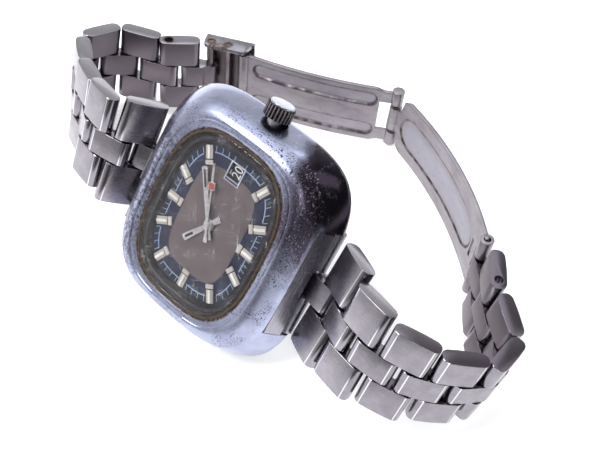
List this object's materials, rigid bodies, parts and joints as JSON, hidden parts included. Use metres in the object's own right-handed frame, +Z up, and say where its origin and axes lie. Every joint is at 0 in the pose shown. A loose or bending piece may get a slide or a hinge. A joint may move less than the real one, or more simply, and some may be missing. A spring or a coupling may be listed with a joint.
{
  "type": "wristwatch",
  "caption": "Cushion case wristwatch with domed crystal, dial with date window, fluted crown and tapering linked metal bracelet with an open fold-over clasp, lying on its edge",
  "frame": {"origin": "centre of the bounding box on the surface that the watch lies on", "axes": "+Z up; the clasp side of the loop is towards +X and +Y, the dial faces -X, -Y and up"},
  "size_m": [0.0762, 0.077, 0.0346],
  "materials": {
    "case_metal": "polished, worn",
    "back_metal": "turned",
    "seal": "matt",
    "crystal": "clear, scratched",
    "crystal_seal": "aged",
    "dial_ring": "satin",
    "dial_face": "satin with a blue border",
    "marker_metal": "polished",
    "date_print": "matt with pale figures",
    "hand_metal": "polished",
    "movement_brass": "plain",
    "movement_steel": "plain",
    "crown_metal": "fluted, worn",
    "end_link_metal": "brushed",
    "centre_link_metal": "brushed faces, polished strips",
    "outer_link_metal": "brushed faces, polished strips",
    "clasp_metal": "plain, dull"
  },
  "bodies": {
    "head": {"case": "case_metal", "case_back": "back_metal", "back_gasket": "seal", "crystal": "crystal", "crystal_gasket": "crystal_seal", "rehaut_ring": "dial_ring", "dial": "dial_face", "hour_markers": "marker_metal", "date_window_frame": "marker_metal", "main_plate": "movement_brass", "movement_ring": "movement_steel", "crown_tube": "back_metal", "end_link_12": "end_link_metal", "end_link_6": "end_link_metal", "spring_bar_12": "back_metal", "spring_bar_6": "back_metal"},
    "centre_link_6_1_body": {"centre_link_6_1": "centre_link_metal"},
    "outer_links_6_1_body": {"outer_links_6_1": "outer_link_metal"},
    "centre_link_6_2_body": {"centre_link_6_2": "centre_link_metal"},
    "outer_links_6_2_body": {"outer_links_6_2": "outer_link_metal"},
    "centre_link_6_3_body": {"centre_link_6_3": "centre_link_metal"},
    "outer_links_6_3_body": {"outer_links_6_3": "outer_link_metal"},
    "centre_link_6_4_body": {"centre_link_6_4": "centre_link_metal"},
    "outer_links_6_4_body": {"outer_links_6_4": "outer_link_metal"},
    "centre_link_6_5_body": {"centre_link_6_5": "centre_link_metal"},
    "outer_links_6_5_body": {"outer_links_6_5": "outer_link_metal"},
    "centre_link_6_6_body": {"centre_link_6_6": "centre_link_metal"},
    "outer_links_6_6_body": {"outer_links_6_6": "outer_link_metal"},
    "centre_link_6_7_body": {"centre_link_6_7": "centre_link_metal"},
    "outer_links_6_7_body": {"outer_links_6_7": "outer_link_metal"},
    "centre_link_6_8_body": {"centre_link_6_8": "centre_link_metal"},
    "end_blade_body": {"end_blade": "clasp_metal", "blade_pins": "clasp_metal"},
    "centre_link_12_1_body": {"centre_link_12_1": "centre_link_metal"},
    "outer_links_12_1_body": {"outer_links_12_1": "outer_link_metal"},
    "centre_link_12_2_body": {"centre_link_12_2": "centre_link_metal"},
    "outer_links_12_2_body": {"outer_links_12_2": "outer_link_metal"},
    "centre_link_12_3_body": {"centre_link_12_3": "centre_link_metal"},
    "outer_links_12_3_body": {"outer_links_12_3": "outer_link_metal"},
    "centre_link_12_4_body": {"centre_link_12_4": "centre_link_metal"},
    "outer_links_12_4_body": {"outer_links_12_4": "outer_link_metal"},
    "centre_link_12_5_body": {"centre_link_12_5": "centre_link_metal"},
    "outer_links_12_5_body": {"outer_links_12_5": "outer_link_metal"},
    "centre_link_12_6_body": {"centre_link_12_6": "centre_link_metal"},
    "outer_links_12_6_body": {"outer_links_12_6": "outer_link_metal"},
    "centre_link_12_7_body": {"centre_link_12_7": "centre_link_metal"},
    "outer_links_12_7_body": {"outer_links_12_7": "outer_link_metal"},
    "centre_link_12_8_body": {"centre_link_12_8": "centre_link_metal"},
    "clasp_cover_body": {"clasp_cover": "clasp_metal", "cover_pins": "clasp_metal"},
    "middle_blade_body": {"middle_blade": "clasp_metal"},
    "setting_slide": {"setting_lever": "movement_steel"},
    "crown_and_stem": {"crown": "crown_metal", "winding_stem": "movement_steel"},
    "minute_hand_body": {"minute_hand": "hand_metal"},
    "hour_hand_body": {"hour_hand": "hand_metal"},
    "second_hand_body": {"second_hand": "hand_metal"},
    "date_disc_body": {"date_disc": "date_print"},
    "rotor_body": {"rotor": "movement_steel"},
    "balance_body": {"balance_wheel": "movement_brass"}
  },
  "joints": [
    {"name": "centre_link_6_1_hinge", "type": "hinge", "parent": "head", "child": "centre_link_6_1_body", "pos_m": [0.00644, -0.01663, 0.01457], "axis": [-0.4735, -0.4819, -0.7373], "range_deg": [0, 12]},
    {"name": "outer_links_6_1_hinge", "type": "hinge", "parent": "centre_link_6_1_body", "child": "outer_links_6_1_body", "pos_m": [0.00864, -0.01993, 0.01512], "axis": [-0.4732, -0.4108, -0.7793], "range_deg": [0, 12]},
    {"name": "centre_link_6_2_hinge", "type": "hinge", "parent": "outer_links_6_1_body", "child": "centre_link_6_2_body", "pos_m": [0.01, -0.02353, 0.0162], "axis": [-0.4732, -0.4108, -0.7793], "range_deg": [0, 12]},
    {"name": "outer_links_6_2_hinge", "type": "hinge", "parent": "centre_link_6_2_body", "child": "outer_links_6_2_body", "pos_m": [0.01121, -0.02718, 0.0173], "axis": [-0.3983, -0.3651, -0.8414], "range_deg": [0, 12]},
    {"name": "centre_link_6_3_hinge", "type": "hinge", "parent": "outer_links_6_2_body", "child": "centre_link_6_3_body", "pos_m": [0.01355, -0.03041, 0.01759], "axis": [-0.3983, -0.3651, -0.8414], "range_deg": [0, 12]},
    {"name": "outer_links_6_3_hinge", "type": "hinge", "parent": "centre_link_6_3_body", "child": "outer_links_6_3_body", "pos_m": [0.01668, -0.03286, 0.01717], "axis": [-0.3554, -0.284, -0.8905], "range_deg": [0, 12]},
    {"name": "centre_link_6_4_hinge", "type": "hinge", "parent": "outer_links_6_3_body", "child": "centre_link_6_4_body", "pos_m": [0.02016, -0.03465, 0.01636], "axis": [-0.3554, -0.284, -0.8905], "range_deg": [0, 12]},
    {"name": "outer_links_6_4_hinge", "type": "hinge", "parent": "centre_link_6_4_body", "child": "outer_links_6_4_body", "pos_m": [0.02392, -0.03542, 0.01522], "axis": [-0.3043, -0.2059, -0.9301], "range_deg": [0, 12]},
    {"name": "centre_link_6_5_hinge", "type": "hinge", "parent": "outer_links_6_4_body", "child": "centre_link_6_5_body", "pos_m": [0.02773, -0.03549, 0.01399], "axis": [-0.3043, -0.2059, -0.9301], "range_deg": [0, 12]},
    {"name": "outer_links_6_5_hinge", "type": "hinge", "parent": "centre_link_6_5_body", "child": "outer_links_6_5_body", "pos_m": [0.03148, -0.03487, 0.01277], "axis": [-0.2709, -0.1213, -0.9549], "range_deg": [0, 12]},
    {"name": "centre_link_6_6_hinge", "type": "hinge", "parent": "outer_links_6_5_body", "child": "centre_link_6_6_body", "pos_m": [0.03405, -0.032, 0.01168], "axis": [-0.2709, -0.1213, -0.9549], "range_deg": [0, 12]},
    {"name": "outer_links_6_6_hinge", "type": "hinge", "parent": "centre_link_6_6_body", "child": "outer_links_6_6_body", "pos_m": [0.03481, -0.02811, 0.01112], "axis": [-0.242, -0.0698, -0.9678], "range_deg": [0, 12]},
    {"name": "centre_link_6_7_hinge", "type": "hinge", "parent": "outer_links_6_6_body", "child": "centre_link_6_7_body", "pos_m": [0.03424, -0.02415, 0.01097], "axis": [-0.242, -0.0698, -0.9678], "range_deg": [0, 12]},
    {"name": "outer_links_6_7_hinge", "type": "hinge", "parent": "centre_link_6_7_body", "child": "outer_links_6_7_body", "pos_m": [0.03407, -0.02016, 0.01073], "axis": [-0.1759, -0.0906, -0.9802], "range_deg": [0, 12]},
    {"name": "centre_link_6_8_hinge", "type": "hinge", "parent": "outer_links_6_7_body", "child": "centre_link_6_8_body", "pos_m": [0.03451, -0.01621, 0.01028], "axis": [-0.1759, -0.0906, -0.9802], "range_deg": [0, 12]},
    {"name": "end_blade_hinge", "type": "hinge", "parent": "centre_link_6_8_body", "child": "end_blade_body", "pos_m": [0.03418, -0.01225, 0.00987], "axis": [-0.1163, -0.1332, -0.9842], "range_deg": [-35, 40]},
    {"name": "centre_link_12_1_hinge", "type": "hinge", "parent": "head", "child": "centre_link_12_1_body", "pos_m": [-0.01824, 0.00762, 0.01457], "axis": [0.4735, 0.4819, 0.7373], "range_deg": [0, 12]},
    {"name": "outer_links_12_1_hinge", "type": "hinge", "parent": "centre_link_12_1_body", "child": "outer_links_12_1_body", "pos_m": [-0.0218, 0.00893, 0.01582], "axis": [0.408, 0.4459, 0.7967], "range_deg": [0, 12]},
    {"name": "centre_link_12_2_hinge", "type": "hinge", "parent": "outer_links_12_1_body", "child": "centre_link_12_2_body", "pos_m": [-0.02518, 0.00835, 0.01787], "axis": [0.408, 0.4459, 0.7967], "range_deg": [0, 12]},
    {"name": "outer_links_12_2_hinge", "type": "hinge", "parent": "centre_link_12_2_body", "child": "outer_links_12_2_body", "pos_m": [-0.02851, 0.01054, 0.01822], "axis": [0.3356, 0.3871, 0.8588], "range_deg": [0, 12]},
    {"name": "centre_link_12_3_hinge", "type": "hinge", "parent": "outer_links_12_2_body", "child": "centre_link_12_3_body", "pos_m": [-0.03075, 0.0138, 0.01763], "axis": [0.3356, 0.3871, 0.8588], "range_deg": [0, 12]},
    {"name": "outer_links_12_3_hinge", "type": "hinge", "parent": "centre_link_12_3_body", "child": "outer_links_12_3_body", "pos_m": [-0.03165, 0.01752, 0.01646], "axis": [0.2847, 0.3159, 0.9051], "range_deg": [0, 12]},
    {"name": "centre_link_12_4_hinge", "type": "hinge", "parent": "outer_links_12_3_body", "child": "centre_link_12_4_body", "pos_m": [-0.03332, 0.02108, 0.01575], "axis": [0.2847, 0.3159, 0.9051], "range_deg": [0, 12]},
    {"name": "outer_links_12_4_hinge", "type": "hinge", "parent": "centre_link_12_4_body", "child": "outer_links_12_4_body", "pos_m": [-0.03376, 0.02491, 0.01467], "axis": [0.2585, 0.2715, 0.9271], "range_deg": [0, 12]},
    {"name": "centre_link_12_5_hinge", "type": "hinge", "parent": "outer_links_12_4_body", "child": "centre_link_12_5_body", "pos_m": [-0.03464, 0.02871, 0.0138], "axis": [0.2585, 0.2715, 0.9271], "range_deg": [0, 12]},
    {"name": "outer_links_12_5_hinge", "type": "hinge", "parent": "centre_link_12_5_body", "child": "outer_links_12_5_body", "pos_m": [-0.03331, 0.03224, 0.01247], "axis": [0.2329, 0.2615, 0.9367], "range_deg": [0, 12]},
    {"name": "centre_link_12_6_hinge", "type": "hinge", "parent": "outer_links_12_5_body", "child": "centre_link_12_6_body", "pos_m": [-0.03029, 0.03447, 0.01109], "axis": [0.2329, 0.2615, 0.9367], "range_deg": [0, 12]},
    {"name": "outer_links_12_6_hinge", "type": "hinge", "parent": "centre_link_12_6_body", "child": "outer_links_12_6_body", "pos_m": [-0.0265, 0.03518, 0.01003], "axis": [0.1977, 0.2391, 0.9507], "range_deg": [0, 12]},
    {"name": "centre_link_12_7_hinge", "type": "hinge", "parent": "outer_links_12_6_body", "child": "centre_link_12_7_body", "pos_m": [-0.0227, 0.03403, 0.00953], "axis": [0.1977, 0.2391, 0.9507], "range_deg": [0, 12]},
    {"name": "outer_links_12_7_hinge", "type": "hinge", "parent": "centre_link_12_7_body", "child": "outer_links_12_7_body", "pos_m": [-0.01891, 0.03279, 0.0092], "axis": [0.1243, 0.2075, 0.9703], "range_deg": [0, 12]},
    {"name": "centre_link_12_8_hinge", "type": "hinge", "parent": "outer_links_12_7_body", "child": "centre_link_12_8_body", "pos_m": [-0.01496, 0.03298, 0.00865], "axis": [0.1243, 0.2075, 0.9703], "range_deg": [0, 12]},
    {"name": "clasp_cover_hinge", "type": "hinge", "parent": "centre_link_12_8_body", "child": "clasp_cover_body", "pos_m": [-0.01099, 0.03318, 0.00817], "axis": [0.1036, 0.1731, 0.9794], "range_deg": [0, 15]},
    {"name": "middle_blade_hinge", "type": "hinge", "parent": "clasp_cover_body", "child": "middle_blade_body", "pos_m": [-0.00476, 0.03134, 0.00784], "axis": [-0.1036, -0.1731, -0.9794], "range_deg": [-25, 35]},
    {"name": "crown_pull", "type": "slide", "parent": "head", "child": "setting_slide", "axis": [0.4735, 0.4819, 0.7373], "range_m": [0, 0.001]},
    {"name": "crown_turn", "type": "hinge", "parent": "setting_slide", "child": "crown_and_stem", "pos_m": [-0.0075, -0.00614, 0.01667], "axis": [0.4735, 0.4819, 0.7373], "continuous": true},
    {"name": "minute_hand_turn", "type": "hinge", "parent": "head", "child": "minute_hand_body", "pos_m": [-0.00936, -0.00803, 0.0191], "axis": [0.5168, 0.5259, -0.6756], "continuous": true},
    {"name": "hour_hand_turn", "type": "hinge", "parent": "head", "child": "hour_hand_body", "pos_m": [-0.00936, -0.00803, 0.0191], "axis": [0.5168, 0.5259, -0.6756], "continuous": true},
    {"name": "second_hand_turn", "type": "hinge", "parent": "head", "child": "second_hand_body", "pos_m": [-0.00936, -0.00803, 0.0191], "axis": [0.5168, 0.5259, -0.6756], "continuous": true},
    {"name": "date_disc_turn", "type": "hinge", "parent": "head", "child": "date_disc_body", "pos_m": [-0.00936, -0.00803, 0.0191], "axis": [0.5168, 0.5259, -0.6756], "continuous": true},
    {"name": "rotor_turn", "type": "hinge", "parent": "head", "child": "rotor_body", "pos_m": [-0.00626, -0.00487, 0.01505], "axis": [-0.5168, -0.5259, 0.6756], "continuous": true},
    {"name": "balance_swing", "type": "hinge", "parent": "head", "child": "balance_body", "pos_m": [-0.00207, -0.01003, 0.01572], "axis": [-0.5168, -0.5259, 0.6756], "range_deg": [-135, 135]}
  ],
  "couplings": [
    {"joint": "hour_hand_turn", "follows": "minute_hand_turn", "ratio": 0.083333},
    {"joint": "date_disc_turn", "follows": "minute_hand_turn", "ratio": 0.0013441}
  ]
}
